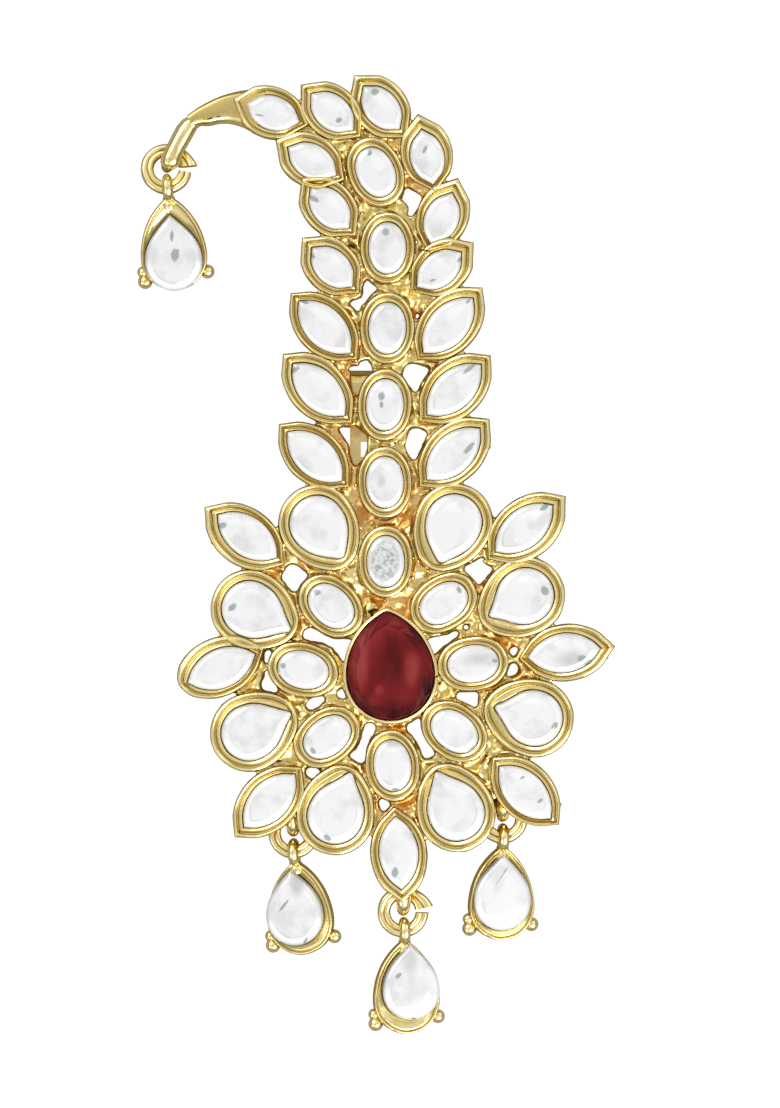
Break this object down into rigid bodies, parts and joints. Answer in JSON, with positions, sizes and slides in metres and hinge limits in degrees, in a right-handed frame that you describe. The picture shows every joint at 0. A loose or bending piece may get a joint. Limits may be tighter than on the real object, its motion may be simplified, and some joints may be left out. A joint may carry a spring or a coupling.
{
  "type": "turban ornament",
  "caption": "Plume-shaped turban ornament: a flower and stem of white stones in cast cups round a red pear stone, with a hook arm, pear drops and a back clip.",
  "frame": {"origin": "centre of the footprint of the lying ornament, on the surface that it lies on", "axes": "+X to the ornament's left as worn, which is right in a front view; +Y up the stem; +Z out of the stones' faces"},
  "size_m": [0.0575, 0.1152, 0.0074],
  "materials": {
    "gold": "polished cast gold plate, warm in the recesses",
    "white_stone": "foil-backed clear glass, flat cut with a soft bevel",
    "red_stone": "faceted red glass with a dark table"
  },
  "bodies": {
    "root": {"frame": "gold", "back_clip": "gold", "red_stone": "red_stone", "stem_ovals": "white_stone", "flower_ovals": "white_stone", "leaf_stone_1": "white_stone", "leaf_stone_2": "white_stone", "leaf_stone_3": "white_stone", "leaf_stone_4": "white_stone", "leaf_stone_5": "white_stone", "leaf_stone_6": "white_stone", "leaf_stone_7": "white_stone", "leaf_stone_8": "white_stone", "leaf_stone_9": "white_stone", "leaf_stone_10": "white_stone", "leaf_stone_11": "white_stone", "leaf_stone_12": "white_stone", "leaf_stone_13": "white_stone", "leaf_stone_14": "white_stone", "leaf_stone_15": "white_stone", "pear_stone_1": "white_stone", "pear_stone_2": "white_stone", "pear_stone_3": "white_stone", "pear_stone_4": "white_stone", "pear_stone_5": "white_stone", "pear_stone_6": "white_stone", "pear_stone_7": "white_stone", "pear_stone_8": "white_stone", "petal_stone_1": "white_stone", "petal_stone_2": "white_stone", "petal_stone_3": "white_stone", "petal_stone_4": "white_stone", "petal_stone_5": "white_stone", "petal_stone_6": "white_stone", "petal_stone_7": "white_stone", "hook_drop_ring": "gold", "hook_drop_setting": "gold", "hook_drop_stone": "white_stone", "left_drop_ring": "gold", "left_drop_setting": "gold", "left_drop_stone": "white_stone", "middle_drop_ring": "gold", "middle_drop_setting": "gold", "middle_drop_stone": "white_stone", "right_drop_ring": "gold", "right_drop_setting": "gold", "right_drop_stone": "white_stone"}
  },
  "joints": []
}
